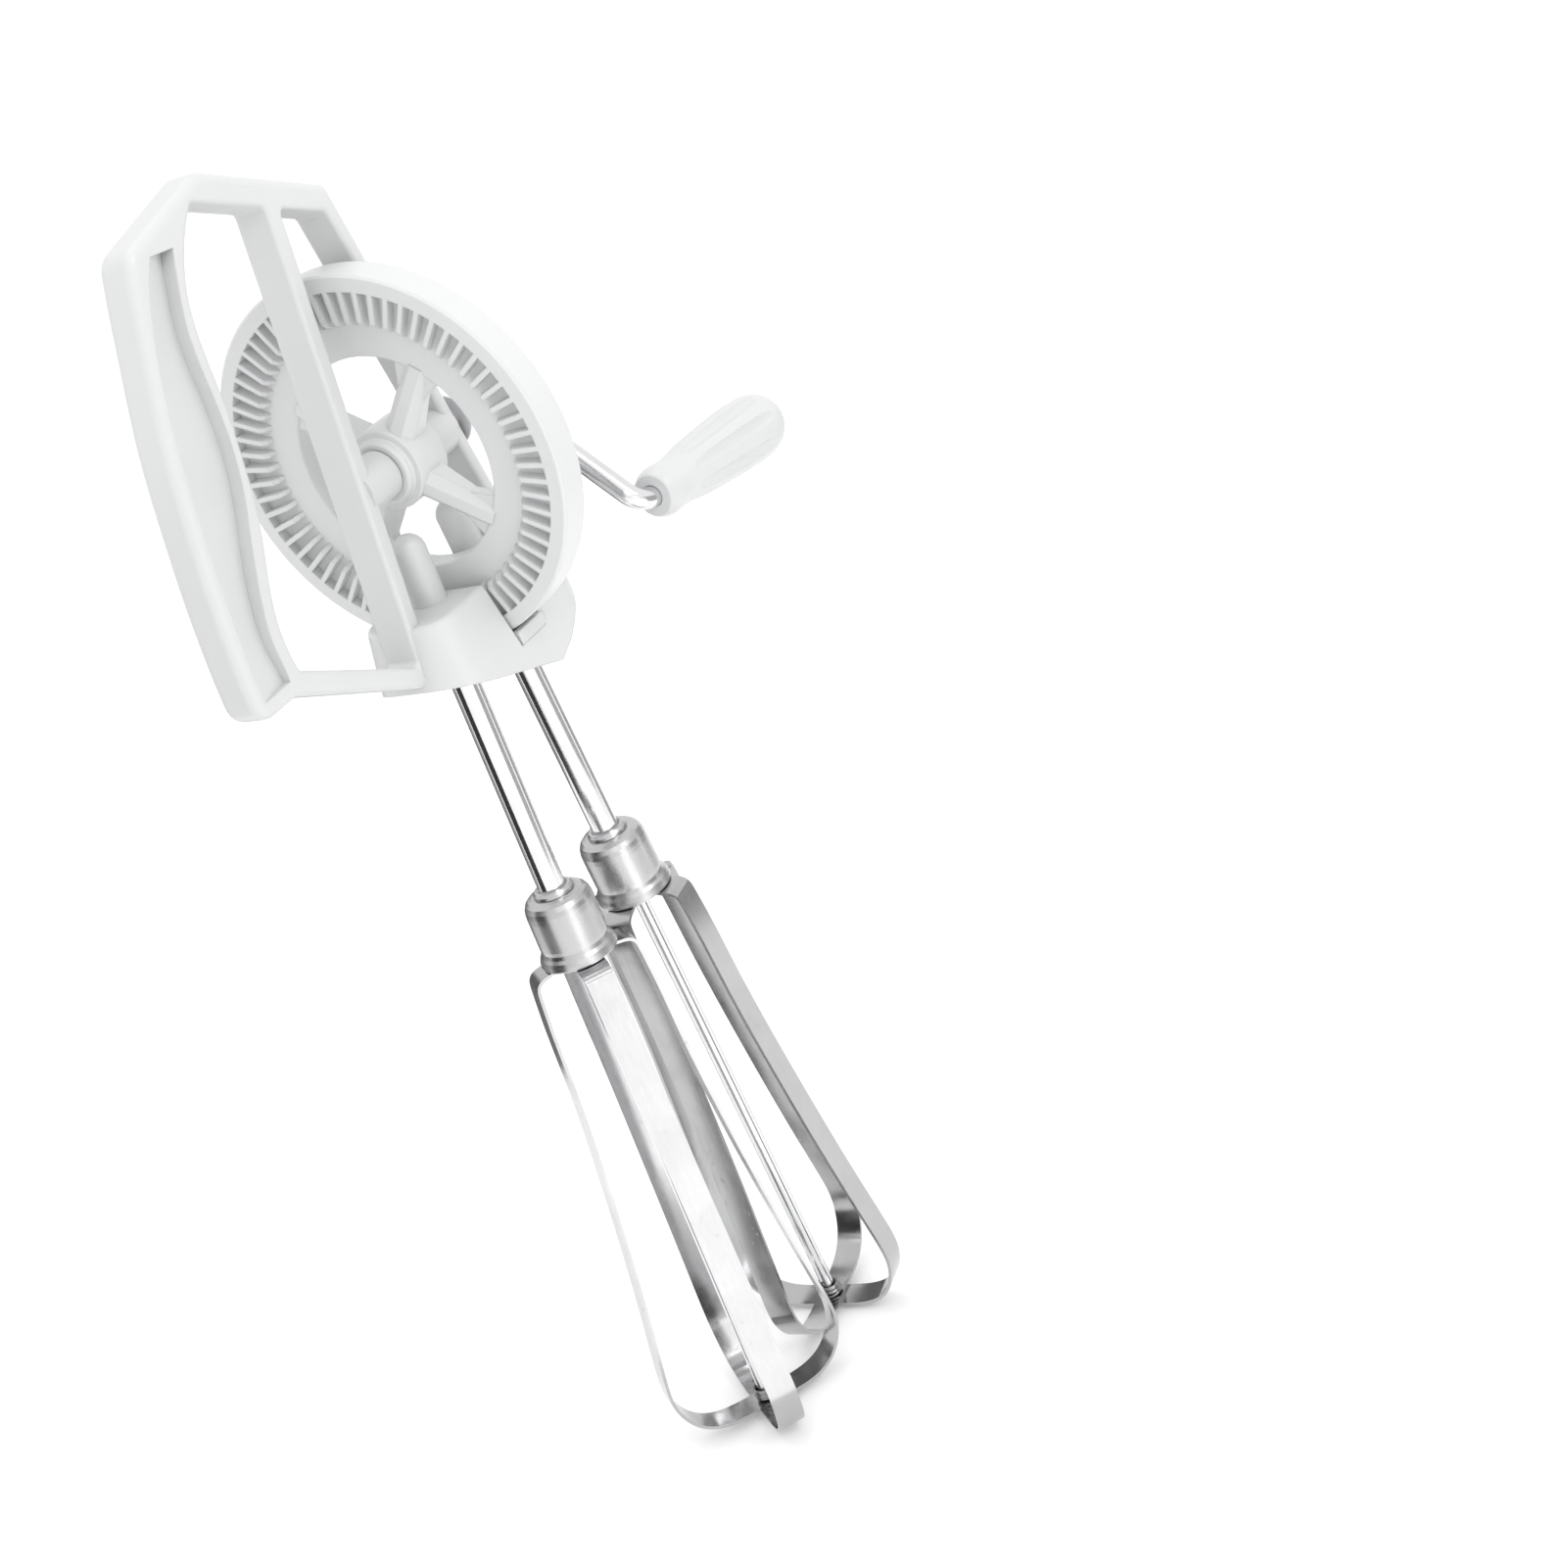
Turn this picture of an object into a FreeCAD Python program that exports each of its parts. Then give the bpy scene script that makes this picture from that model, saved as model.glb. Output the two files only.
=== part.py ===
import FreeCAD, Part
import os, math
from FreeCAD import Vector as V

# Hand-cranked rotary egg beater: a moulded yoke with a D handle carries a face-gear
# wheel turned by a bent crank; the wheel's two toothed faces drive two pinions, and each
# pinion turns a steel tube with a cage of strip blades.  Millimetres, +Z up, blades down.
# Working axes while modelling: X along the crank axle (handle at -X, crank at +X),
# Z up, origin on the axle in the plane of the wheel's front face.  The finished pieces
# are moved so that the origin is the middle of the handle's grip.

# ---------------------------------------------------------------- driving dimensions
GRIP_X, GRIP_Z = -46.0, 20.0      # middle of the handle grip in working axes
FRAME_HT = 4.2                    # half thickness of the moulded yoke (Y)
OUTER_R, EDGE_R = 2.0, 0.9        # rounding of the yoke's outer edges and of its openings
RECESS_D = 3.0                    # depth of the pocket in each side of the handle
AXLE_R = 2.2                      # crank rod radius
RUN = 0.06                        # radial running clearance

WHEEL_R = 38.9                    # rim radius
WHEEL_W = 7.4                     # rim width along the axle
TOOTH_RO, TOOTH_RI = 35.6, 28.8   # toothed ring
WEB_X0, WEB_X1 = 2.2, 5.2         # web between the two toothed faces
TOOTH_T = 1.05                    # thickness of a wheel tooth
N_WHEEL, N_PINION = 66, 10
SPOKE_A0 = 50.0                   # a spoke's angle from +Z towards +Y
HUB_R = 6.9
HUB_X0, HUB_X1 = -2.4, 9.2
XM = WHEEL_W / 2.0                # the wheel's middle plane

AXIS_X = {-1: -3.6, 1: 10.74}     # where the front and rear shaft axes cross the axle's level
LEAN = {-1: math.atan(0.040), 1: math.atan(0.048)}   # outward lean of each shaft
TUBE_R, TUBE_RI = 2.9, 2.1
PIN_TIP_R, PIN_ROOT_R = 5.7, 3.5

HOUS_TOP = -26.4                  # top of the gear housing
HOUS_HW = 10.3                    # half width at the top
SLOT_X0, SLOT_X1 = -0.6, 8.3      # slot for the wheel
SLOT_Z = -40.4

CAP_TOP, CAP_RIM = -92.6, -107.4
CAP_R, RIM_R = 7.35, 8.4
BLADE_W, BLADE_T = 6.25, 0.7
ROD_R = 1.55
CAGE_BOT = -226.9                 # outer face of the crossing at the bottom
FRONT_PHASE, REAR_PHASE = 51.0, 95.0

CRANK_X = 35.7                    # plane of the crank arm
CRANK_R = 39.0                    # arm length, axle to grip
CRANK_A = -131.0                  # arm angle in the Y-Z plane at rest
GRIP_TILT = 6.0                   # outward lean of the grip
GRIP_S0, GRIP_S1 = 4.2, 48.9      # ends of the grip along its own axis

os.makedirs("parts", exist_ok=True)
OUT = {}


def poly(pts, close=True):
    v = [V(*p) for p in pts]
    if close:
        v.append(v[0])
    return Part.makePolygon(v)


def xz(points):
    return [V(x, 0, z) for x, z in points]


def spline(points):
    c = Part.BSplineCurve()
    c.interpolate(points)
    return c.toShape()


def prism(wire, y0, y1):
    f = Part.Face(wire)
    f.translate(V(0, y0, 0))
    return f.extrude(V(0, y1 - y0, 0))


def line(a, b):
    return Part.makeLine(a, b)


def revolve(points, axis=V(0, 0, 1)):
    # closed (radius, height) outline turned about Z
    w = Part.makePolygon([V(r, 0, s) for r, s in points] + [V(points[0][0], 0, points[0][1])])
    return Part.Face(w).revolve(V(0, 0, 0), V(0, 0, 1), 360)


def ring(ri, ro, s0, s1):
    a = Part.makeCylinder(ro, abs(s1 - s0), V(0, 0, min(s0, s1)))
    return a.cut(Part.makeCylinder(ri, abs(s1 - s0) + 2, V(0, 0, min(s0, s1) - 1)))


def fillet_try(shape, edges, radii):
    for r in radii:
        try:
            s = shape.makeFillet(r, edges)
            if s.isValid() and s.Volume > 0:
                return s
        except Exception:
            pass
    print("fillet skipped", len(edges))
    return shape


def clean(s):
    try:
        r = s.removeSplitter()
        if r.isValid() and abs(r.Volume - s.Volume) < 1e-3 * max(1.0, s.Volume):
            s = r
    except Exception:
        pass
    if s.ShapeType == "Compound" and len(s.Solids) == 1:
        s = s.Solids[0]
    return s


def put(name, shape):
    shape = clean(shape)
    shape.translate(V(-GRIP_X, 0, -GRIP_Z))
    OUT[name] = shape
    shape.exportStep("parts/%s.step" % name)
    print("%-22s solids %d valid %s volume %.1f" % (name, len(shape.Solids), shape.isValid(), shape.Volume))


# ---------------------------------------------------------------- yoke
HT = FRAME_HT


def strut1_l(z): return -13.97 + 0.157 * z
def strut1_r(z): return -10.25 + 0.157 * z
def strut2_l(z): return 16.7 - 0.157 * z
def strut2_r(z): return 20.0 - 0.157 * z
def bar_under(x): return 60.7 - 0.44 * (x + 20.0)
def low_top(x): return -18.1 - 0.551 * (x + 47.2)
def low_bot(x): return -20.7 - 0.551 * (x + 50.2)


outer_curve = [(-41.0, 59.6), (-43.9, 53.0), (-47.2, 44.2), (-50.4, 35.6), (-53.4, 26.3),
               (-55.9, 16.0), (-58.0, 6.0), (-59.6, -3.5), (-60.8, -13.0), (-61.3, -21.7)]
finger_curve = [(-22.0, bar_under(-22.0)), (-25.0, 58.9), (-29.1, 54.0), (-32.2, 48.4), (-33.9, 42.5),
                (-34.8, 35.5), (-35.5, 29.0), (-36.6, 22.6), (-38.2, 15.5), (-41.0, 6.6),
                (-44.4, -1.0), (-46.9, -8.0), (-47.6, -13.5), (-47.3, low_top(-47.3))]

T1, T2 = V(12.4, 0, 52.2), V(-17.6, 0, 65.8)
oc = spline(xz(outer_curve))
B2 = V(-50.2, 0, -21.7)
B3 = V(-17.0, 0, low_bot(-17.0))
B4 = V(22.0, 0, -34.0)
B5 = V(strut2_r(-30.0), 0, -30.0)
outer = Part.Wire([line(T1, T2), line(T2, V(-41.0, 0, 59.6)), oc, line(V(-61.3, 0, -21.7), B2),
                   line(B2, B3), line(B3, B4), line(B4, B5), line(B5, T1)])
plate = prism(outer, -HT, HT)

fc = spline(xz(finger_curve))
p0 = V(-22.0, 0, bar_under(-22.0))
zt = (60.7 - 0.44 * (20.0 - 13.97)) / (1 + 0.44 * 0.157)
q1 = V(strut1_l(zt), 0, zt)
zb = (-18.1 - 0.551 * (47.2 - 13.97)) / (1 + 0.551 * 0.157)
q2 = V(strut1_l(zb), 0, zb)
q3 = V(-47.3, 0, low_top(-47.3))
hole1 = prism(Part.Wire([fc, line(p0, q1), line(q1, q2), line(q2, q3)]), -HT - 1, HT + 1)
z1 = (60.7 - 0.44 * (20.0 - 10.25)) / (1 + 0.44 * 0.157)
z2 = (60.7 - 0.44 * (20.0 + 16.7)) / (1 - 0.44 * 0.157)
hole2 = prism(poly([(strut1_r(z1), 0, z1), (strut2_l(z2), 0, z2), (strut2_l(HOUS_TOP), 0, HOUS_TOP),
                    (strut1_r(HOUS_TOP), 0, HOUS_TOP)]), -HT - 1, HT + 1)


def y_edges(s, picks, tol=1.2):
    r = []
    for e in s.Edges:
        a, b = e.Vertexes[0].Point, e.Vertexes[-1].Point
        if abs(a.x - b.x) < 1e-3 and abs(a.z - b.z) < 1e-3:
            for (x, z) in picks:
                if math.hypot(a.x - x, a.z - z) < tol:
                    r.append(e)
    return r


plate = fillet_try(plate, y_edges(plate, [(T2.x, T2.z), (-41.0, 59.6)]), [5.0, 3.0])
plate = fillet_try(plate, y_edges(plate, [(-61.3, -21.7)]), [4.0, 2.5])
plate = fillet_try(plate, y_edges(plate, [(T1.x, T1.z)]), [1.5, 1.0])
hole1 = fillet_try(hole1, y_edges(hole1, [(p0.x, p0.z), (q1.x, q1.z), (q3.x, q3.z), (q2.x, q2.z)]), [1.2, 0.8])
hole2 = fillet_try(hole2, y_edges(hole2, [(strut1_r(z1), z1), (strut2_l(z2), z2)]), [1.2, 0.8])

def side_edges(s, ylev):
    r = []
    for e in s.Edges:
        bb = e.BoundBox
        if abs(abs(bb.YMin) - ylev) < 1e-4 and abs(abs(bb.YMax) - ylev) < 1e-4 and bb.YMin * bb.YMax > 0:
            r.append(e)
    return r


plate = fillet_try(plate, side_edges(plate, HT), [OUTER_R, 1.6, 1.2])
plate = plate.cut(hole1).cut(hole2)
rims = [e for e in side_edges(plate, HT) if min(hole1.distToShape(e)[0], hole2.distToShape(e)[0]) < 1e-3]
plate = fillet_try(plate, rims, [EDGE_R, 0.6, 0.4])

# hollows in both sides of the handle: flush along the outer side, sloping down to the
# foot of a finger-side rib, with a short step at each end
pk_in = [(-31.0, 56.6), (-34.3, 49.4), (-36.4, 43.1), (-37.3, 36.8), (-37.7, 30.2), (-38.5, 24.0),
         (-39.9, 18.0), (-42.4, 11.4), (-45.4, 5.0), (-48.1, -1.4), (-50.2, -8.0), (-50.9, -13.5), (-51.0, -18.2)]
pk_out = [(-37.0, 57.3), (-41.3, 51.2), (-44.7, 44.4), (-47.7, 37.0), (-50.2, 29.2), (-52.3, 20.8),
          (-54.2, 12.0), (-55.8, 3.6), (-57.2, -4.6), (-58.0, -10.4), (-58.4, -14.4), (-58.6, -17.0), (-58.6, -18.2)]


def along(points, t):
    c = Part.BSplineCurve(); c.interpolate(xz(points))
    q = c.parameterAtDistance(c.length() * t, c.FirstParameter)
    return c.value(q)


for sgn in (-1, 1):
    secs = []
    for i in range(13):
        t = i / 12.0
        o, n = along(pk_out, t), along(pk_in, t)
        d = RECESS_D * (1.0 - 0.45 * max(0.0, (t - 0.7) / 0.3) ** 2)
        yy = sgn * HT
        secs.append(Part.makePolygon([V(o.x, yy + sgn * 0.8, o.z), V(o.x, yy - sgn * 0.02, o.z), V(n.x, yy - sgn * d, n.z),
                                      V(n.x, yy + sgn * 0.8, n.z), V(o.x, yy + sgn * 0.8, o.z)]))
    pocket = Part.makeLoft(secs, True, False)
    if not pocket.isValid() or pocket.Volume < 10:
        pocket = Part.makeLoft(secs, True, True)
    plate = plate.cut(pocket)
print("yoke plate valid", plate.isValid(), len(plate.Solids))

# ---------------------------------------------------------------- gear housing


def rrect(x0, x1, hw, r0, r, z):
    # rounded rectangle, corner radius r0 at the handle end and r at the crank end
    w = []
    c = [(x1 - r, hw - r, 0, r), (x0 + r0, hw - r0, 90, r0), (x0 + r0, -hw + r0, 180, r0), (x1 - r, -hw + r, 270, r)]
    pts = []
    for cx, cy, a, r in c:
        pts.append([V(cx + r * math.cos(math.radians(a + k)), cy + r * math.sin(math.radians(a + k)), z) for k in (0, 45, 90)])
    for i in range(4):
        w.append(Part.Arc(*pts[i]).toShape())
        w.append(Part.makeLine(pts[i][2], pts[(i + 1) % 4][0]))
    return Part.Wire(w)


LOFT_Z = -62.0
dz = HOUS_TOP - LOFT_Z


def body(off, top):
    # tapering rounded box, inset by off on the sides
    k = (HOUS_TOP - top)
    def at(z):
        d = HOUS_TOP - z
        return rrect(-17.6 - 0.2 * d + off, 26.8 - off, HOUS_HW + 0.22 * d - off, max(6.6 + 0.26 * d - off, 2.0), max(6.0 + 0.3 * d - off, 2.0), z)
    return Part.makeLoft([at(top), at(LOFT_Z)], True, True)


def under(off):
    # side view of the underside: slopes down towards the crank side, then cuts back up
    pts = [(45, 0, -28.0), (27.2, 0, -36.8), (23.8, 0, -39.3), (18.7, 0, -42.3), (12.6, 0, -45.9), (7.0, 0, -47.9), (-40, 0, -45.5 + 0.345 * 40)]
    return prism(poly([(-40, 0, 0), (45, 0, 0)] + [(x, 0, z + off) for x, y, z in pts]), -40, 40)


shell = body(0.0, HOUS_TOP).common(under(0.0))


def edges_in(s, test):
    return [e for e in s.Edges if test(e)]


top_e = edges_in(shell, lambda e: abs(e.BoundBox.ZMin - HOUS_TOP) < 1e-3 and abs(e.BoundBox.ZMax - HOUS_TOP) < 1e-3)
shell = fillet_try(shell, top_e, [1.2, 0.8])
bot_e = edges_in(shell, lambda e: e.BoundBox.ZMax < -33 and e.BoundBox.YLength > 0.5 and e.BoundBox.XLength > 0.5)
cav = body(2.0, HOUS_TOP - 2.0).common(prism(poly([(-40, 0, 0), (45, 0, 0), (45, 0, -70), (-40, 0, -70)]), -40, 40))
shell = shell.cut(cav)
slot = Part.makeBox(SLOT_X1 - SLOT_X0, 60, 60, V(SLOT_X0, -30, SLOT_Z))
shell = shell.cut(slot)
# small guide lugs at the foot of the slot's rear edge
for sy in (-1, 1):
    lug = Part.makeBox(SLOT_X1 - SLOT_X0 - 0.5 + 0.8, 1.7, 3.4, V(SLOT_X0 + 0.5, -0.85, SLOT_Z - 0.6))
    lug = fillet_try(lug, [e for e in lug.Edges if e.BoundBox.YLength > 1.0 and e.BoundBox.XMin < SLOT_X0 + 2.0], [0.5])
    lug.translate(V(0, sy * (HOUS_HW + 0.22 * 13.0 - 0.75), 0))
    shell = shell.fuse(lug)


# ---------------------------------------------------------------- shaft axes
def place(shape, side):
    # side -1: front shaft (handle side), +1: rear shaft (crank side)
    s = shape.copy()
    s.rotate(V(0, 0, 0), V(0, 1, 0), math.degrees(LEAN[side]) * (-side))
    s.translate(V(AXIS_X[side], 0, 0))
    return s


POST_R, POST_TOP = 3.4, -12.2
post = Part.makeCylinder(POST_R, (POST_TOP - POST_R) - (HOUS_TOP - 1.5), V(0, 0, HOUS_TOP - 1.5))
post = post.fuse(Part.makeSphere(POST_R, V(0, 0, POST_TOP - POST_R)))
J_R = 1.9
post_bore = Part.makeCylinder(J_R + RUN, 20.0, V(0, 0, -35.0))   # blind, ends below the dome

frame = plate.fuse(shell)
frame = frame.cut(Part.makeBox(SLOT_X1 - SLOT_X0, 12, 20, V(SLOT_X0, -6, SLOT_Z)))
for side in (-1, 1):
    frame = frame.fuse(place(post, side))
# pads that carry the crank axle, one on each strut
boss1 = Part.makeCylinder(5.0, 9.4, V(-12.2, 0, 0), V(1, 0, 0))
boss2 = Part.makeCylinder(5.0, 8.0, V(10.2, 0, 0), V(1, 0, 0))
frame = frame.fuse(boss1).fuse(boss2)
frame = frame.cut(Part.makeCylinder(AXLE_R + RUN, 8.4, V(-10.8, 0, 0), V(1, 0, 0)))
frame = frame.cut(Part.makeCylinder(AXLE_R + RUN, 20, V(9.0, 0, 0), V(1, 0, 0)))
for side in (-1, 1):
    frame = frame.cut(place(post_bore, side))
# nothing of the struts or bars reaches into the housing's cavity
keep = body(2.0, HOUS_TOP - 2.0)
frame = frame.cut(keep)
put("yoke_frame", frame)

# closing plate with the two bearing sleeves, pressed up into the housing
gap = 0.05
basep = body(2.0 + gap, -32.0).common(under(0.0))
basep = basep.cut(under(1.8))
SLEEVE_TOP = -40.0
for side in (-1, 1):
    sl = place(Part.makeCylinder(5.0, 24.0, V(0, 0, SLEEVE_TOP - 24.0)), side)
    sl = sl.common(under(0.0))
    basep = basep.fuse(sl)
for side in (-1, 1):
    basep = basep.cut(place(Part.makeCylinder(TUBE_R + RUN, 60, V(0, 0, -75)), side))
put("housing_base", basep)

# ---------------------------------------------------------------- face-gear wheel


def xrev(points):
    # closed (x, radius) outline turned about X
    w = Part.makePolygon([V(x, 0, r) for x, r in points] + [V(points[0][0], 0, points[0][1])])
    return Part.Face(w).revolve(V(0, 0, 0), V(1, 0, 0), 360)


c = 0.5
rim = xrev([(0.0, TOOTH_RO), (0.0, WHEEL_R - c), (c, WHEEL_R), (WHEEL_W - c, WHEEL_R), (WHEEL_W, WHEEL_R - c),
            (WHEEL_W, TOOTH_RO), (WEB_X1, TOOTH_RO), (WEB_X1, 24.9), (6.9, 24.3), (6.9, 22.3), (6.5, 21.9),
            (WEB_X0 + 0.3, 21.9), (WEB_X0, 22.2), (WEB_X0, TOOTH_RO)])
hub = xrev([(HUB_X0, AXLE_R + 0.02), (HUB_X0, 5.9), (HUB_X0 + 0.6, HUB_R - 0.4), (HUB_X0 + 1.0, HUB_R - 0.4), (HUB_X0 + 1.4, HUB_R),
            (-0.9, HUB_R), (-0.9, 7.9), (-0.5, 8.3), (7.9, 8.3), (8.3, 7.9), (8.3, HUB_R), (HUB_X1 - 0.6, HUB_R), (HUB_X1, HUB_R - 0.6), (HUB_X1, AXLE_R + 0.02)])
wheel = rim
spokes = []
for k in range(4):
    a = SPOKE_A0 + 90 * k
    # solid arm, broad at the middle plane and narrowing to a ridge on each face; the
    # ridges slope from the hub down to the ring
    def cut_at(r, xf, xb):
        q = [(xf, -1.2), (xf, 1.2), (xf + 1.8, 3.0), (xb - 1.8, 3.0), (xb, 1.2), (xb, -1.2), (xb - 1.8, -3.0), (xf + 1.8, -3.0)]
        return Part.makePolygon([V(x, t, r) for x, t in q + q[:1]])
    arm = Part.makeLoft([cut_at(5.0, -0.6, 8.0), cut_at(22.7, 1.86, 5.54)], True, True)
    toe = Part.Face(poly([(2.55, -2.4, 15.5), (2.55, 2.4, 15.5), (2.55, 5.2, 22.7), (2.55, -5.2, 22.7)])).extrude(V(2.3, 0, 0))
    for s in (arm, toe):
        s.rotate(V(0, 0, 0), V(1, 0, 0), -a)
        spokes.append(s)
wheel = wheel.fuse([hub] + spokes)
teeth = []
for k in range(N_WHEEL):
    a = 360.0 * k / N_WHEEL
    for face in (0, 1):
        if face == 0:
            o = [(WEB_X0 + 0.2, 0, TOOTH_RI - 0.6), (0.9, 0, TOOTH_RI), (0.0, 0, TOOTH_RI + 0.9), (0.0, 0, TOOTH_RO + 0.2), (WEB_X0 + 0.2, 0, TOOTH_RO + 0.2)]
        else:
            o = [(WEB_X1 - 0.2, 0, TOOTH_RI - 0.6), (WHEEL_W - 0.9, 0, TOOTH_RI), (WHEEL_W, 0, TOOTH_RI + 0.9), (WHEEL_W, 0, TOOTH_RO + 0.2), (WEB_X1 - 0.2, 0, TOOTH_RO + 0.2)]
        t = Part.Face(poly(o))
        t.translate(V(0, -TOOTH_T / 2, 0))
        t = t.extrude(V(0, TOOTH_T, 0))
        t.rotate(V(0, 0, 0), V(1, 0, 0), a)
        teeth.append(t)
wheel = wheel.fuse(teeth)
put("drive_wheel", wheel)

# ---------------------------------------------------------------- crank
e = V(0, math.cos(math.radians(CRANK_A)), math.sin(math.radians(CRANK_A)))
ct, st = math.cos(math.radians(GRIP_TILT)), math.sin(math.radians(GRIP_TILT))
g = V(ct, st * e.y, st * e.z)
C1 = V(CRANK_X, 0, 0)
C2 = C1 + e * CRANK_R
ENDP = C2 + g * (GRIP_S1 - 5.5)


def corner(p, d0, d1, r):
    # tangent arc that rounds the corner at p between unit directions d0 (in) and d1 (out)
    ang = math.acos(max(-1, min(1, d0.dot(d1))))
    t = r * math.tan(ang / 2)
    a, b = p - d0 * t, p + d1 * t
    bis = (d1 - d0); bis.normalize()
    cen = p + bis * (r / math.cos(ang / 2))
    m = cen - bis * r
    return a, m, b


START = V(-10.3, 0, 0)
a1, m1, b1 = corner(C1, V(1, 0, 0), e, 7.0)
a2, m2, b2 = corner(C2, e, g, 4.4)
path = Part.Wire([line(START, a1), Part.Arc(a1, m1, b1).toShape(), line(b1, a2), Part.Arc(a2, m2, b2).toShape(), line(b2, ENDP)])
prof = Part.Wire(Part.makeCircle(AXLE_R, START, V(1, 0, 0)))
rod = path.makePipeShell([prof], True, True)
if rod.ShapeType != "Solid":
    rod = Part.Solid(rod)
print("rod volume / section x length: %.3f" % (rod.Volume / (math.pi * AXLE_R ** 2 * path.Length)))
put("crank_rod", rod)


def along_grip(s):
    # shape built along +Z from the arm's corner, moved onto the grip's axis
    t = s.copy()
    rot = FreeCAD.Rotation(V(0, 0, 1), g)
    t.Placement = FreeCAD.Placement(C2, rot).multiply(t.Placement)
    return t


S0, S1 = GRIP_S0, GRIP_S1
gp = [(S0, 4.3), (S0 + 0.7, 4.85), (S0 + 5.8, 5.25), (S0 + 13.5, 5.9), (S0 + 22.2, 6.65), (S0 + 30.9, 7.15), (S0 + 36.2, 7.2), (S0 + 40.1, 6.7), (S0 + 43.1, 5.2), (S0 + 44.4, 3.0)]
gc = spline([V(r, 0, s) for s, r in gp])
gw = Part.Wire([line(V(0, 0, S0), V(4.3, 0, S0)), gc, line(V(3.0, 0, S0 + 44.4), V(0, 0, S1 - 0.05)), line(V(0, 0, S1 - 0.05), V(0, 0, S0))])
grip = Part.Face(gw).revolve(V(0, 0, 0), V(0, 0, 1), 360)
# shallow lengthwise flutes
for k in range(8):
    fl = Part.makeCylinder(2.2, 25.6, V(0, 0, 0))
    fl = fl.fuse(Part.makeSphere(2.2, V(0, 0, 0))).fuse(Part.makeSphere(2.2, V(0, 0, 25.6)))
    fl.rotate(V(0, 0, 0), V(0, 1, 0), 3.4)
    fl.translate(V(7.45, 0, S0 + 11.0))
    fl.rotate(V(0, 0, 0), V(0, 0, 1), 45.0 * k + 22.5)
    grip = grip.cut(fl)
grip = grip.cut(Part.makeCylinder(AXLE_R + RUN, S1 - 5.5 - S0 + 1.0, V(0, 0, S0 - 1.0)))
grip = grip.cut(Part.makeCylinder(4.1, 2.7, V(0, 0, S1 - 8.0)))
put("crank_grip", along_grip(grip))
put("grip_retainer", along_grip(ring(AXLE_R + 0.02, 3.7, S1 - 7.2, S1 - 6.4)))


def along_x(s):
    t = s.copy()
    t.rotate(V(0, 0, 0), V(0, 1, 0), 90)
    return t


put("axle_washer", along_x(ring(AXLE_R + 0.02, 5.2, HUB_X1 + 0.15, HUB_X1 + 0.75)))
push = revolve([(AXLE_R + 0.02, 21.4), (5.3, 21.4), (5.3, 22.0), (3.4, 22.5), (AXLE_R + 0.02, 22.5)])
put("axle_push_nut", along_x(push))

# ---------------------------------------------------------------- the two beaters


def pinion():
    p = revolve([(0, -16.2), (J_R - 0.3, -16.2), (J_R, -16.5), (J_R, -28.9), (3.3, -28.9), (3.3, -29.9), (PIN_ROOT_R, -29.9),
                 (PIN_ROOT_R, -35.0), (4.2, -35.0), (4.2, -38.2), (TUBE_RI - 0.03, -38.2), (TUBE_RI - 0.03, -47.6), (TUBE_RI - 0.5, -48.0), (0, -48.0)])
    tt = []
    for k in range(N_PINION):
        t = Part.Face(poly([(3.0, -0.62, 0), (4.9, -0.5, 0), (PIN_TIP_R, -0.26, 0), (PIN_TIP_R, 0.26, 0), (4.9, 0.5, 0), (3.0, 0.62, 0)]))
        t.translate(V(0, 0, -35.0))
        t = t.extrude(V(0, 0, 5.1))
        t.rotate(V(0, 0, 0), V(0, 0, 1), 360.0 * (k + PIN_OFF) / N_PINION)
        tt.append(t)
    return p.fuse(tt)


# blade outline (radius, height) of the strip's outer face, from inside the cap to the crossing
OUTLINE = [(5.55, -96.6), (5.55, -98.6), (5.55, -100.6), (5.55, -102.6), (5.55, -104.2), (5.58, -105.2), (5.72, -106.1), (6.15, -106.85), (7.0, -107.35), (8.3, -107.65),
           (9.6, -107.9), (10.65, -108.35), (11.35, -109.2), (11.75, -110.5), (11.95, -112.2), (12.2, -115.6), (12.5, -120.0), (13.0, -133.0), (14.1, -150.0), (15.7, -168.0), (17.5, -185.0), (19.2, -198.5), (20.4, -207.5), (20.75, -211.5),
           (20.6, -214.8), (19.7, -218.2), (18.0, -221.6), (15.4, -224.4), (12.0, -226.1), (8.0, -226.8), (4.0, -226.9), (0.0, -226.9)]


def strip_solid(lift, phase):
    # the outline's lower part is lifted for the strip that crosses on top of the other
    half = []
    for r, s in OUTLINE:
        w = max(0.0, min(1.0, (-s - 215.0) / 10.0))
        half.append(V(r, 0, s + lift * w))
    # dense points on the straight shank keep the curve from swinging
    cur = Part.BSplineCurve()
    cur.interpolate(half)
    n = 130
    a, b = cur.FirstParameter, cur.LastParameter
    side_o = []
    for i in range(n + 1):
        p = cur.value(a + (b - a) * i / n)
        side_o.append(V(max(p.x, 0.0), 0, p.z))
    full = side_o + [V(-p.x, 0, p.z) for p in reversed(side_o[:-1])]
    inner = []
    for i, p in enumerate(full):
        t = full[min(len(full) - 1, i + 1)] - full[max(0, i - 1)]
        t.normalize()
        inner.append(p + V(t.z, 0, -t.x) * BLADE_T)
    c1 = Part.BSplineCurve(); c1.interpolate(full[::2])
    c2 = Part.BSplineCurve(); c2.interpolate(inner[::2])
    w = Part.Wire([c1.toShape(), line(full[-1], inner[-1]), c2.toShape(), line(inner[0], full[0])])
    f = Part.Face(w)
    f.translate(V(0, -BLADE_W / 2, 0))
    b = f.extrude(V(0, BLADE_W, 0))
    b = b.cut(Part.makeCylinder(ROD_R + 0.05, 12, V(0, 0, CAGE_BOT - 6)))
    b.rotate(V(0, 0, 0), V(0, 0, 1), phase)
    return b


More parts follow.
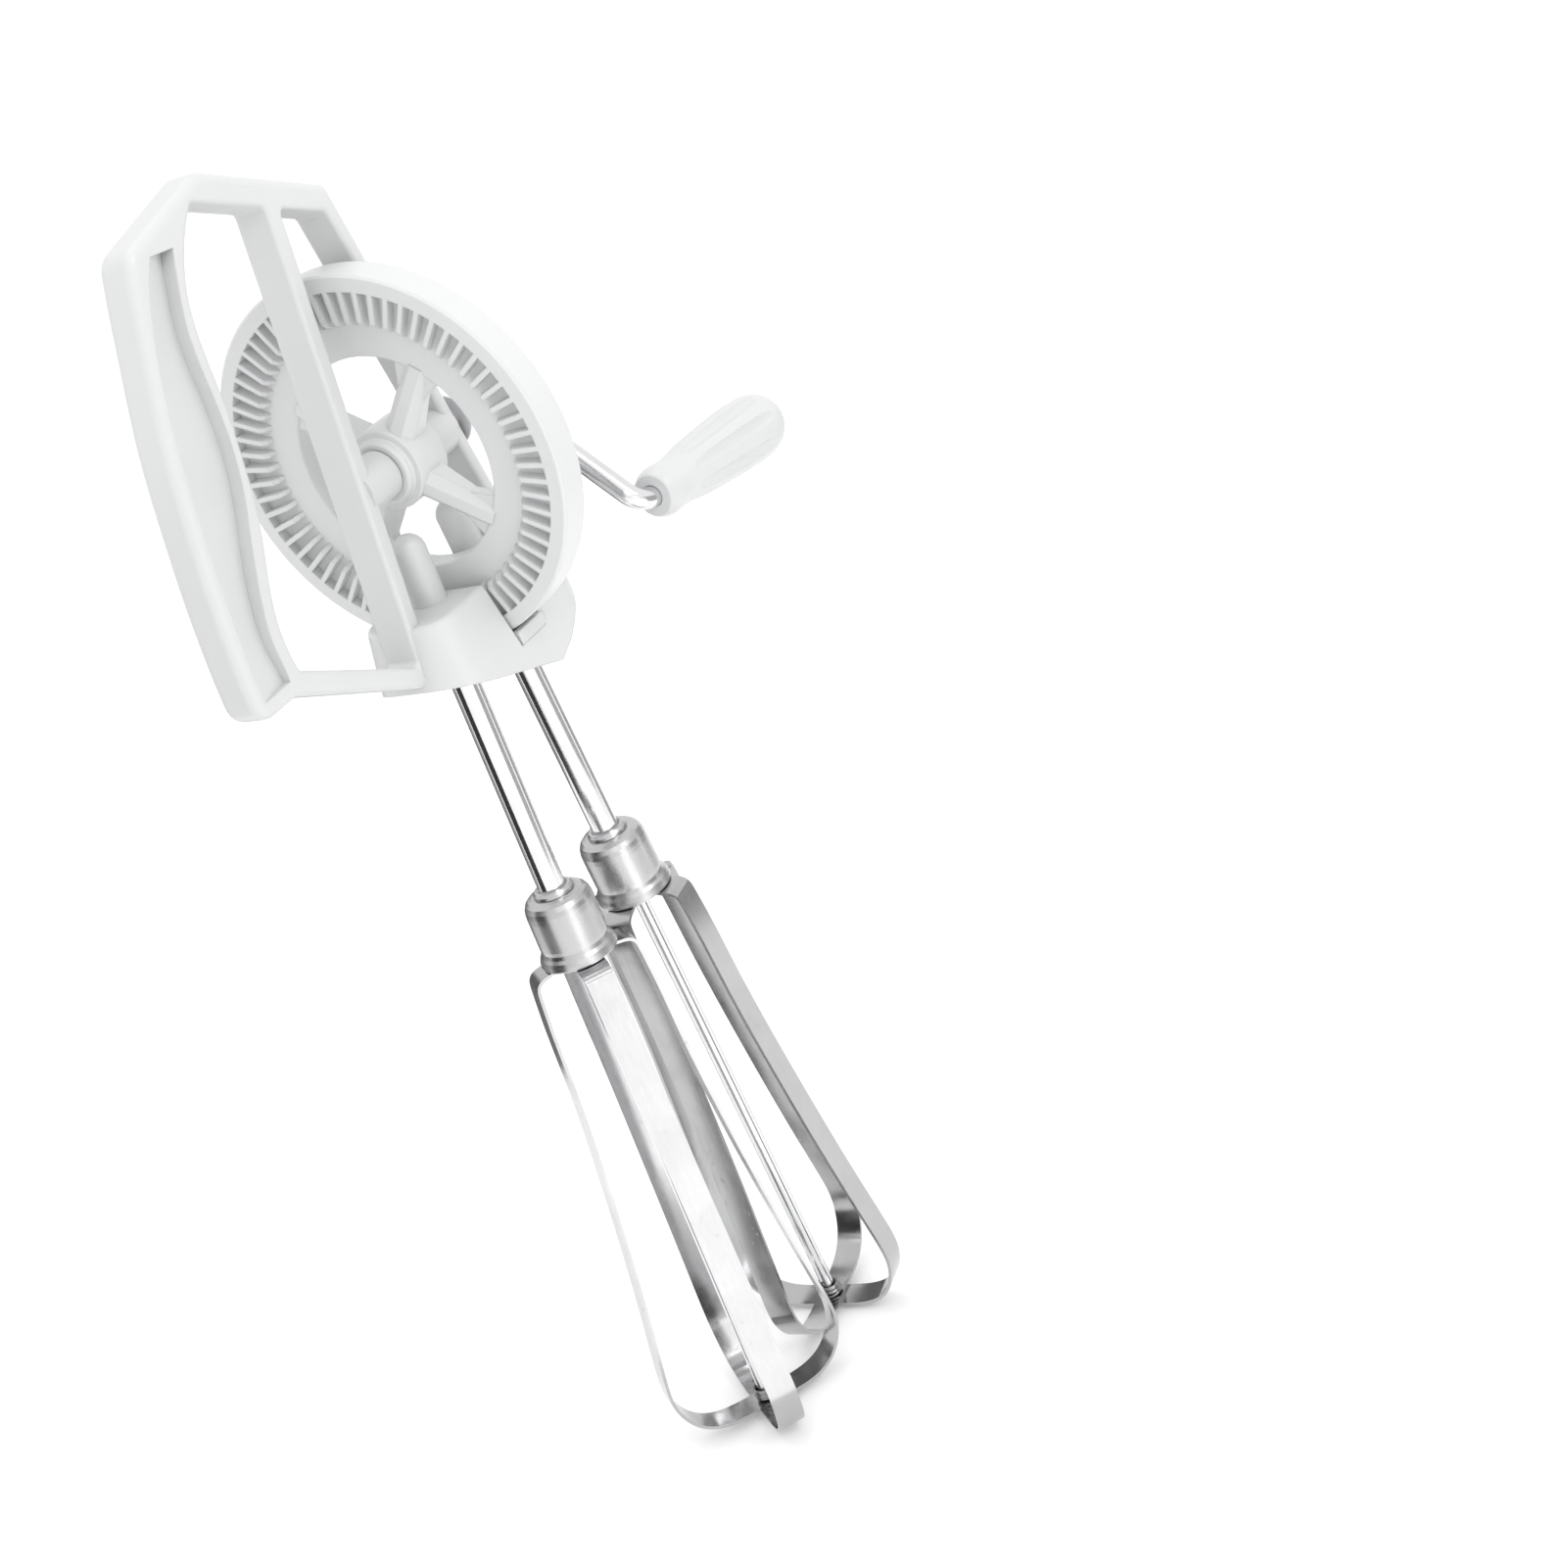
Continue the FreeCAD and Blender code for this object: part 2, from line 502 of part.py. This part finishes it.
COLLAR = [(TUBE_R + 0.02, -91.7), (TUBE_R + 0.4, -91.35), (3.9, -91.45), (4.3, -92.0), (4.4, -92.55), (TUBE_R + 0.02, -92.55)]
CAP = [(TUBE_R + 0.05, CAP_TOP), (5.0, CAP_TOP - 0.02), (5.9, CAP_TOP - 0.25), (6.6, CAP_TOP - 0.85), (7.1, CAP_TOP - 1.8), (7.3, CAP_TOP - 2.8), (CAP_R, CAP_TOP - 4.0),
       (CAP_R, -103.2), (7.3, -104.1), (7.55, -104.9), (8.0, -105.6), (8.3, -106.4), (RIM_R, -107.1), (8.3, CAP_RIM), (7.95, CAP_RIM), (7.75, -106.6),
       (7.4, -105.9), (6.85, -105.2), (6.62, -104.2), (6.62, -95.8), (6.2, -94.6), (5.4, -93.8), (4.4, -93.4), (TUBE_R + 0.05, -93.4)]


for side, tag, phase in ((-1, "front", FRONT_PHASE), (1, "rear", REAR_PHASE)):
    # pinions are turned so that a tooth sits in a gap of the wheel at rest
    PIN_OFF = 0.5
    put("pinion_" + tag, place(pinion(), side))
    put("drive_tube_" + tag, place(ring(TUBE_RI, TUBE_R, -38.25, -103.4), side))
    put("thrust_washer_" + tag, place(ring(TUBE_R + 0.02, 4.6, -38.9, -39.6), side))
    put("tube_collar_" + tag, place(revolve(COLLAR), side))
    put("blade_cap_" + tag, place(revolve(CAP), side))
    put("blade_hub_" + tag, place(ring(TUBE_R + 0.03, 4.78, -95.6, -104.4).fuse(ring(ROD_R + 0.03, 4.78, -104.4, -106.2)), side))
    put("lower_blade_" + tag, place(strip_solid(0.0, phase), side))
    put("upper_blade_" + tag, place(strip_solid(0.75, phase + 90.0), side))
    rod = Part.makeCylinder(ROD_R, 227.6 - 103.8, V(0, 0, -227.6))
    put("centre_rod_" + tag, place(rod, side))
    z0 = -225.35
    riv = [(ROD_R + 0.02, z0), (2.5, z0), (2.7, z0 + 0.25), (2.5, z0 + 0.6), (2.05, z0 + 0.75), (2.35, z0 + 0.95), (2.35, z0 + 1.3), (1.95, z0 + 1.5),
           (2.25, z0 + 1.75), (2.25, z0 + 2.1), (1.9, z0 + 2.3), (2.1, z0 + 2.55), (2.0, z0 + 3.0), (ROD_R + 0.02, z0 + 3.3)]
    put("bottom_ferrule_" + tag, place(revolve(riv), side))
print(len(OUT), "nodes")
bb = None
for s in OUT.values():
    bb = s.BoundBox if bb is None else bb.united(s.BoundBox)
print("box", [round(v, 1) for v in (bb.XMin, bb.XMax, bb.YMin, bb.YMax, bb.ZMin, bb.ZMax)])
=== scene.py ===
import bpy, bmesh, math, random
from mathutils import Matrix, Vector


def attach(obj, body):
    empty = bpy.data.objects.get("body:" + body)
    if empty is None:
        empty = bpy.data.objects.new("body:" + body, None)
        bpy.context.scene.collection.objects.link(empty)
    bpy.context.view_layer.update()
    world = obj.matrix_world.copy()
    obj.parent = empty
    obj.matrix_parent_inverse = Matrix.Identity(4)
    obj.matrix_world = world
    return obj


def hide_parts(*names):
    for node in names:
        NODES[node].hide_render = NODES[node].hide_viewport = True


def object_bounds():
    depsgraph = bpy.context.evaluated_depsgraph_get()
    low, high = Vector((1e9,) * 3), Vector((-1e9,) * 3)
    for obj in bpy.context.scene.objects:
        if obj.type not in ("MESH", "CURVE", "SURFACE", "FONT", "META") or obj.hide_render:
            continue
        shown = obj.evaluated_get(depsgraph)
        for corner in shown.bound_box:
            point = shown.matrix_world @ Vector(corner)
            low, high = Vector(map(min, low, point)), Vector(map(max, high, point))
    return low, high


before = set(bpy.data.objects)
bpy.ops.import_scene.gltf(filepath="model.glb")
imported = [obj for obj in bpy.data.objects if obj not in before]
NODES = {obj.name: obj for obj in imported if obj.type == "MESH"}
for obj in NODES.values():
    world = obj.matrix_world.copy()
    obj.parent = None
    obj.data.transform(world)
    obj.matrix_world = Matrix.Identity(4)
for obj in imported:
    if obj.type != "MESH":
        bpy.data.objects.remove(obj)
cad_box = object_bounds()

random.seed(7)


# ------------------------------------------------------------------ material helpers
def new_mat(name):
    m = bpy.data.materials.new(name)
    m.use_nodes = True
    nt = m.node_tree
    nt.nodes.clear()
    out = nt.nodes.new("ShaderNodeOutputMaterial")
    bsdf = nt.nodes.new("ShaderNodeBsdfPrincipled")
    nt.links.new(bsdf.outputs[0], out.inputs[0])
    return m, nt, bsdf


def coords(nt, scale=(1, 1, 1), rot=(0, 0, 0)):
    tc = nt.nodes.new("ShaderNodeTexCoord")
    mp = nt.nodes.new("ShaderNodeMapping")
    mp.inputs["Scale"].default_value = scale
    mp.inputs["Rotation"].default_value = rot
    nt.links.new(tc.outputs["Object"], mp.inputs[0])
    return mp.outputs[0]


def noise(nt, vec, scale, detail=3.0, rough=0.55, dist=0.0):
    n = nt.nodes.new("ShaderNodeTexNoise")
    n.inputs["Scale"].default_value = scale
    n.inputs["Detail"].default_value = detail
    n.inputs["Roughness"].default_value = rough
    n.inputs["Distortion"].default_value = dist
    nt.links.new(vec, n.inputs["Vector"])
    return n.outputs[0]


def ramp(nt, fac, stops):
    r = nt.nodes.new("ShaderNodeValToRGB")
    el = r.color_ramp.elements
    while len(el) < len(stops):
        el.new(0.5)
    for e, (p, c) in zip(el, stops):
        e.position = p
        e.color = (c[0], c[1], c[2], 1) if hasattr(c, "__len__") else (c, c, c, 1)
    nt.links.new(fac, r.inputs[0])
    return r.outputs[0]


def math_n(nt, op, a, b=None, clamp=False):
    n = nt.nodes.new("ShaderNodeMath")
    n.operation = op
    n.use_clamp = clamp
    for i, v in enumerate((a, b)):
        if v is None:
            continue
        if isinstance(v, (int, float)):
            n.inputs[i].default_value = v
        else:
            nt.links.new(v, n.inputs[i])
    return n.outputs[0]


def mix_c(nt, fac, a, b, mode="MIX"):
    n = nt.nodes.new("ShaderNodeMix")
    n.data_type = "RGBA"
    n.blend_type = mode
    for sock, v in ((n.inputs[0], fac), (n.inputs[6], a), (n.inputs[7], b)):
        if isinstance(v, (int, float)):
            sock.default_value = v
        elif isinstance(v, tuple):
            sock.default_value = (*v, 1)
        else:
            nt.links.new(v, sock)
    return n.outputs[2]


def bump(nt, height, strength, dist, normal=None):
    b = nt.nodes.new("ShaderNodeBump")
    b.inputs["Strength"].default_value = strength
    b.inputs["Distance"].default_value = dist
    nt.links.new(height, b.inputs["Height"])
    if normal is not None:
        nt.links.new(normal, b.inputs["Normal"])
    return b.outputs[0]


def plastic(name, tone, dirt_and_shade_tone, rough=(0.24, 0.36), sss=0.06):
    """Glossy moulded plastic: faint mottling, scuffs, dirty specks, patchy soiling plus painted shade darkening the
    hollows, orange-peel surface.
    """
    m, nt, b = new_mat(name)
    v = coords(nt)
    cloud = noise(nt, v, 38.0, 4.0, 0.6, 0.4)
    col = mix_c(nt, ramp(nt, cloud, [(0.30, 0.0), (0.72, 1.0)]), tone, tuple(c * 0.985 for c in tone))
    # faint streaks where the melt flowed in the mould
    flow = noise(nt, coords(nt, (26, 26, 150), (0.2, 0.35, 0.1)), 1.0, 3.0, 0.6, 1.2)
    col = mix_c(nt, ramp(nt, flow, [(0.46, 0.0), (0.78, 0.30)]), col, tuple(c * 0.965 for c in tone))
    # handled grime: specks and soft patches
    patch = noise(nt, v, 95.0, 5.0, 0.65)
    speck = noise(nt, v, 900.0, 2.0, 0.5)
    sp = math_n(nt, "MULTIPLY", ramp(nt, speck, [(0.70, 0.0), (0.78, 1.0)]), ramp(nt, patch, [(0.52, 0.0), (0.72, 1.0)]))
    col = mix_c(nt, math_n(nt, "MULTIPLY", sp, 0.10), col, dirt_and_shade_tone)
    # painted shade: hollows (low pointiness) are pulled towards the dark dirt tone in soft patches, partly grime and
    # partly painted crevice shade
    geo = nt.nodes.new("ShaderNodeNewGeometry")
    edge = ramp(nt, geo.outputs["Pointiness"], [(0.40, 1.0), (0.485, 0.0)])
    hollow_soil_and_shade = math_n(nt, "MULTIPLY", edge, ramp(nt, patch, [(0.35, 0.0), (0.65, 1.0)]))
    col = mix_c(nt, math_n(nt, "MULTIPLY", hollow_soil_and_shade, 0.12), col, dirt_and_shade_tone)
    nt.links.new(col, b.inputs["Base Color"])
    # fine scuffs change the gloss
    s1 = noise(nt, coords(nt, (900, 60, 900), (0.3, 0.9, 0.2)), 1.0, 2.0, 0.5)
    s2 = noise(nt, coords(nt, (60, 1000, 800), (1.1, 0.2, 0.7)), 1.0, 2.0, 0.5)
    sc = math_n(nt, "MAXIMUM", ramp(nt, s1, [(0.66, 0.0), (0.72, 1.0)]), ramp(nt, s2, [(0.67, 0.0), (0.73, 1.0)]))
    sc = math_n(nt, "MULTIPLY", sc, ramp(nt, noise(nt, v, 60.0, 3.0), [(0.45, 0.0), (0.7, 1.0)]))
    r = nt.nodes.new("ShaderNodeMapRange")
    nt.links.new(noise(nt, v, 140.0, 4.0, 0.6), r.inputs[0])
    r.inputs[1].default_value, r.inputs[2].default_value = 0.3, 0.7
    r.inputs[3].default_value, r.inputs[4].default_value = rough
    rr = math_n(nt, "ADD", r.outputs[0], math_n(nt, "MULTIPLY", sc, 0.18), clamp=True)
    nt.links.new(rr, b.inputs["Roughness"])
    soft = nt.nodes.new("ShaderNodeBevel")
    soft.samples = 4
    soft.inputs["Radius"].default_value = 0.00045
    peel = noise(nt, v, 420.0, 2.0, 0.5)
    n1 = bump(nt, peel, 0.10, 0.00012, soft.outputs[0])
    n2 = bump(nt, sc, 0.25, 0.00003, n1)
    nt.links.new(n2, b.inputs["Normal"])
    b.inputs["IOR"].default_value = 1.49
    b.inputs["Subsurface Weight"].default_value = sss
    b.inputs["Subsurface Radius"].default_value = (1.0, 0.85, 0.7)
    b.inputs["Subsurface Scale"].default_value = 0.0012
    return m


def steel(name, tone, rough=(0.07, 0.16), grain=(260, 260, 2600), grain_rot=(0, 0, 0), grain_amt=0.05, spots=0.25):
    """Polished or rolled steel: fine drawn lines along the part, smudges and water spots in the gloss."""
    m, nt, b = new_mat(name)
    v = coords(nt)
    lines = noise(nt, coords(nt, grain, grain_rot), 1.0, 4.0, 0.62)
    smudge = noise(nt, v, 70.0, 5.0, 0.6, 0.8)
    spot = noise(nt, v, 420.0, 2.0, 0.5)
    sp = math_n(nt, "MULTIPLY", ramp(nt, spot, [(0.66, 0.0), (0.74, 1.0)]), ramp(nt, smudge, [(0.45, 0.0), (0.62, 1.0)]))
    col = mix_c(nt, ramp(nt, smudge, [(0.35, 0.0), (0.7, 1.0)]), tone, tuple(c * 0.93 for c in tone))
    col = mix_c(nt, math_n(nt, "MULTIPLY", sp, spots), col, tuple(c * f for c, f in zip(tone, (0.72, 0.70, 0.66))))
    col = mix_c(nt, math_n(nt, "MULTIPLY", ramp(nt, lines, [(0.4, 0.0), (0.62, 1.0)]), 0.12), col, tuple(c * 0.8 for c in tone))
    nt.links.new(col, b.inputs["Base Color"])
    b.inputs["Metallic"].default_value = 1.0
    r = nt.nodes.new("ShaderNodeMapRange")
    nt.links.new(smudge, r.inputs[0])
    r.inputs[1].default_value, r.inputs[2].default_value = 0.32, 0.7
    r.inputs[3].default_value, r.inputs[4].default_value = rough
    rr = math_n(nt, "ADD", r.outputs[0], math_n(nt, "MULTIPLY", lines, grain_amt), clamp=True)
    rr = math_n(nt, "ADD", rr, math_n(nt, "MULTIPLY", sp, 0.12), clamp=True)
    nt.links.new(rr, b.inputs["Roughness"])
    n1 = bump(nt, lines, 0.10, 0.00002)
    n2 = bump(nt, noise(nt, v, 55.0, 2.0), 0.10, 0.0002, n1)
    nt.links.new(n2, b.inputs["Normal"])
    return m


WHITE = plastic("moulded_white", (0.622, 0.627, 0.629), (0.36, 0.355, 0.34), rough=(0.30, 0.42))
WHEEL_M = plastic("wheel_white", (0.665, 0.67, 0.672), (0.36, 0.355, 0.34), rough=(0.30, 0.42), sss=0.08)
NYLON = plastic("nylon", (0.60, 0.598, 0.58), (0.34, 0.32, 0.29), rough=(0.36, 0.5), sss=0.12)
CHROME = steel("polished_shaft", (0.78, 0.78, 0.79), rough=(0.05, 0.12), grain_amt=0.03)
CAP_M = steel("drawn_cap", (0.53, 0.53, 0.535), rough=(0.20, 0.30), grain=(900, 900, 200), grain_amt=0.10, spots=0.35)
ROD = steel("drawn_rod", (0.76, 0.76, 0.77), rough=(0.10, 0.2), grain=(2200, 300, 300))
BLADE = steel("rolled_strip", (0.47, 0.47, 0.475), rough=(0.08, 0.16), grain=(1500, 1500, 60), grain_amt=0.10, spots=0.35)
SPRING = steel("spring_steel", (0.88, 0.88, 0.89), rough=(0.34, 0.46), grain=(700, 700, 700))
WIRE = steel("crimp_wire", (0.34, 0.335, 0.33), rough=(0.16, 0.28), grain=(900, 900, 900))

MAT = {"yoke_frame": WHITE, "housing_base": WHITE, "drive_wheel": WHEEL_M, "crank_grip": WHITE, "crank_rod": ROD,
       "axle_washer": ROD, "axle_push_nut": SPRING, "grip_retainer": SPRING}
for t in ("front", "rear"):
    MAT.update({"drive_tube_" + t: CHROME, "pinion_" + t: NYLON, "thrust_washer_" + t: NYLON, "tube_collar_" + t: CAP_M,
                "blade_cap_" + t: CAP_M, "blade_hub_" + t: WHEEL_M, "lower_blade_" + t: BLADE, "upper_blade_" + t: BLADE,
                "centre_rod_" + t: CHROME, "bottom_ferrule_" + t: WIRE})


def finish_node(name, bevel=None):
    o = NODES[name]
    if not o.material_slots:
        o.data.materials.append(MAT[name])
    for s in o.material_slots:
        s.link = "OBJECT"
        s.material = MAT[name]
    if bevel:
        w = o.modifiers.new("weld", "WELD")
        w.merge_threshold = 2e-6
        b = o.modifiers.new("edge", "BEVEL")
        b.width = bevel
        b.segments = 2
        b.limit_method = "ANGLE"
        b.angle_limit = math.radians(38)
        b.use_clamp_overlap = True
        b.harden_normals = False
        n = o.modifiers.new("wn", "WEIGHTED_NORMAL")
        n.keep_sharp = False
        n.weight = 60


for name in NODES:
    finish_node(name)

# ------------------------------------------------------------------ crimped wire knots at the foot of each cage
SHAFTS = {"front": (-3.6, math.atan(0.040)), "rear": (10.74, -math.atan(0.048))}


def shaft_point(side, x, y, z):
    """A point given beside a shaft's own axis, in mm from the crank axle's level, in the row frame."""
    x0, lean = SHAFTS[side]
    c, s_ = math.cos(lean), math.sin(lean)
    return Vector(((x * c + z * s_ + x0 + 46.0) / 1000, y / 1000, (-x * s_ + z * c - 20.0) / 1000))


def tube_mesh(name, pts, rad, mat, sides=10):
    """A round wire along a list of points, capped at both ends."""
    bm = bmesh.new()
    rings = []
    ref = Vector((0, 0, 1))
    for i, p in enumerate(pts):
        t = (pts[min(i + 1, len(pts) - 1)] - pts[max(i - 1, 0)]).normalized()
        u = t.cross(ref)
        u = t.cross(Vector((1, 0, 0))) if u.length < 1e-3 else u
        u.normalize()
        w = t.cross(u)
        k = rad if 0 < i < len(pts) - 1 else rad * 0.7
        rings.append([bm.verts.new(p + (u * math.cos(a) + w * math.sin(a)) * k) for a in [2 * math.pi * j / sides for j in range(sides)]])
    for a, b in zip(rings, rings[1:]):
        for j in range(sides):
            bm.faces.new((a[j], a[(j + 1) % sides], b[(j + 1) % sides], b[j]))
    bm.faces.new(list(reversed(rings[0])))
    bm.faces.new(rings[-1])
    bmesh.ops.recalc_face_normals(bm, faces=bm.faces)
    me = bpy.data.meshes.new(name)
    bm.to_mesh(me)
    bm.free()
    for f in me.polygons:
        f.use_smooth = True
    me.materials.append(mat)
    o = bpy.data.objects.new(name, me)
    bpy.context.scene.collection.objects.link(o)
    return o


for tag, turn in (("front", 0.4), ("rear", 2.1)):
    rnd = random.Random(11 if tag == "front" else 23)
    pts = []
    loops, n = 5, 30
    wob = [(rnd.uniform(-0.22, 0.22), rnd.uniform(-0.35, 0.35)) for _ in range(loops + 1)]
    # a short loose end, five uneven loops round the rod, and another loose end
    for i in range(loops * n + 1):
        f = i / n
        k = int(min(f, loops - 1e-6))
        g = f - k
        dr = wob[k][0] * (1 - g) + wob[k + 1][0] * g
        a = turn + 2 * math.pi * f
        r = 2.25 + dr + 0.12 * math.sin(3 * a)
        z = -224.85 + 2.5 * f / loops + 0.28 * math.sin(a + wob[k][1] * 4)
        pts.append(shaft_point(tag, r * math.cos(a), r * math.sin(a), z))
    head, tail = [], []
    for j in range(1, 7):
        a0 = turn - 0.05 * j
        head.append(shaft_point(tag, 2.25 * math.cos(turn) + wob[0][0] + 0.55 * j * math.sin(a0), 2.25 * math.sin(turn) - 0.55 * j * math.cos(a0), -224.85 + 0.10 * j))
        a1 = turn + 0.08 * j
        tail.append(shaft_point(tag, (2.25 + wob[-1][0]) * math.cos(turn) - 0.5 * j * math.sin(a1), 2.25 * math.sin(turn) + 0.5 * j * math.cos(a1), -222.35 + 0.14 * j))
    knot = tube_mesh("wire_knot_" + tag, list(reversed(head)) + pts + tail, 0.00030, WIRE)
    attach(knot, "beater_" + tag)
    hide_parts("bottom_ferrule_" + tag)

# ------------------------------------------------------------------ stage: floor, light, camera
z0 = cad_box[0][2] - 0.0006
bpy.ops.mesh.primitive_plane_add(size=30, location=(0, 0, z0))
floor = bpy.context.object
floor.name = "studio_floor"
fm, nt, b = new_mat("studio_floor")
fc = ramp(nt, noise(nt, coords(nt), 3.0, 3.0), [(0.3, 0.90), (0.7, 0.93)])
nt.links.new(fc, b.inputs["Base Color"])
b.inputs["Roughness"].default_value = 0.9
b.inputs["Specular IOR Level"].default_value = 0.1
b.inputs["Emission Color"].default_value = (1, 1, 1, 1)
b.inputs["Emission Strength"].default_value = 0.10
floor.data.materials.append(fm)

sc = bpy.context.scene
world = bpy.data.worlds.new("studio")
sc.world = world
world.use_nodes = True
wn = world.node_tree
bg = wn.nodes["Background"]
bg.inputs[0].default_value = (1.0, 1.0, 1.0, 1)
bg.inputs[1].default_value = 1.08

mid = Vector(((cad_box[0][0] + cad_box[1][0]) / 2, 0, (cad_box[0][2] + cad_box[1][2]) / 2))


def area(name, loc, target, size, power, size_y=None, color=(1, 1, 1)):
    d = bpy.data.lights.new(name, "AREA")
    d.energy = power
    d.size = size
    d.color = color
    if size_y:
        d.shape = "RECTANGLE"
        d.size_y = size_y
    o = bpy.data.objects.new(name, d)
    sc.collection.objects.link(o)
    o.location = loc
    o.rotation_euler = (Vector(target) - Vector(loc)).to_track_quat("-Z", "Y").to_euler()
    return o


area("key", (-0.20, -1.30, 1.05), mid, 0.6, 6.5)
area("top", (0.25, 0.1, 1.4), mid, 0.6, 3.5)
area("fill", (-0.75, -0.62, 0.42), mid, 0.5, 0.4)


def card(name, az, dist, width, z_lo, z_hi, tone, glow=0.0, centre=(0.045, 0.0)):
    """A grey board beside the set: never seen directly, only in the bright metal."""
    a = math.radians(az)
    d = Vector((math.cos(a), math.sin(a), 0))
    t = Vector((-d.y, d.x, 0))
    c = Vector((centre[0], centre[1], 0)) + d * dist
    me = bpy.data.meshes.new(name)
    me.from_pydata([(*(c - t * width / 2).xy, z_lo), (*(c + t * width / 2).xy, z_lo), (*(c + t * width / 2).xy, z_hi), (*(c - t * width / 2).xy, z_hi)], [], [(0, 1, 2, 3)])
    o = bpy.data.objects.new(name, me)
    sc.collection.objects.link(o)
    m, nt, b = new_mat(name)
    n = ramp(nt, noise(nt, coords(nt), 6.0, 2.0), [(0.3, tone * 0.9), (0.7, tone * 1.1)])
    nt.links.new(n, b.inputs["Base Color"])
    b.inputs["Roughness"].default_value = 0.9
    b.inputs["Specular IOR Level"].default_value = 0.0
    if glow:
        b.inputs["Emission Color"].default_value = (1, 1, 1, 1)
        b.inputs["Emission Strength"].default_value = glow
    me.materials.append(m)
    o.visible_camera = False
    o.visible_shadow = False
    o.visible_diffuse = False
    return o


def floor_glow(az, d0, d1, width, centre=(0.045, 0.0)):
    """A bright strip lying on the floor in front of the cages, seen only in the metal."""
    a = math.radians(az)
    d = Vector((math.cos(a), math.sin(a), 0))
    t = Vector((-d.y, d.x, 0))
    c = Vector((centre[0], centre[1], 0))
    me = bpy.data.meshes.new("glow_floor")
    me.from_pydata([(*(c + d * d0 - t * width / 2).xy, FZ), (*(c + d * d0 + t * width / 2).xy, FZ), (*(c + d * d1 + t * width * 0.7).xy, FZ), (*(c + d * d1 - t * width * 0.7).xy, FZ)], [], [(0, 1, 2, 3)])
    o = bpy.data.objects.new("glow_floor", me)
    sc.collection.objects.link(o)
    m, nt, b = new_mat("glow_floor")
    nt.links.new(ramp(nt, noise(nt, coords(nt), 5.0, 2.0), [(0.3, 0.85), (0.7, 0.95)]), b.inputs["Base Color"])
    b.inputs["Roughness"].default_value = 0.9
    b.inputs["Emission Color"].default_value = (1, 1, 1, 1)
    b.inputs["Emission Strength"].default_value = 0.95
    me.materials.append(m)
    o.visible_camera = False
    o.visible_shadow = False
    o.visible_diffuse = False


FZ = z0 + 0.001
card("board_left", 147, 0.26, 0.21, FZ, 0.02, 0.04)
card("board_left_back", 100, 0.32, 0.20, FZ, -0.06, 0.30)
card("glow_front", 244, 0.25, 0.085, FZ, 0.0, 0.9, 1.1)
card("board_back", 63, 0.19, 0.17, FZ, -0.06, 0.16)
floor_glow(244, 0.045, 0.245, 0.075)
card("board_right", 288, 0.34, 0.22, FZ, 0.0, 0.42)
card("board_far_right", 335, 0.30, 0.20, FZ, -0.03, 0.42)

sc.view_settings.view_transform = "Standard"
sc.view_settings.exposure = 0.0

cd = bpy.data.cameras.new("camera")
cam = bpy.data.objects.new("camera", cd)
sc.collection.objects.link(cam)
cd.sensor_fit = "HORIZONTAL"
cd.sensor_width = 36.0
cd.lens = 2558.31 / 1601 * 36.0
cd.clip_start = 0.01
cd.clip_end = 60.0
right = Vector((0.4332644, -0.8324598, -0.3430167))
up = Vector((0.5287371, -0.07293, 0.8454191))
back = Vector((-0.7291434, -0.5487959, 0.4089903))
pos = Vector((-0.3021464, -0.3209548, 0.0985493))
cam.matrix_world = Matrix(((right.x, up.x, back.x, pos.x), (right.y, up.y, back.y, pos.y), (right.z, up.z, back.z, pos.z), (0, 0, 0, 1)))
sc.camera = cam
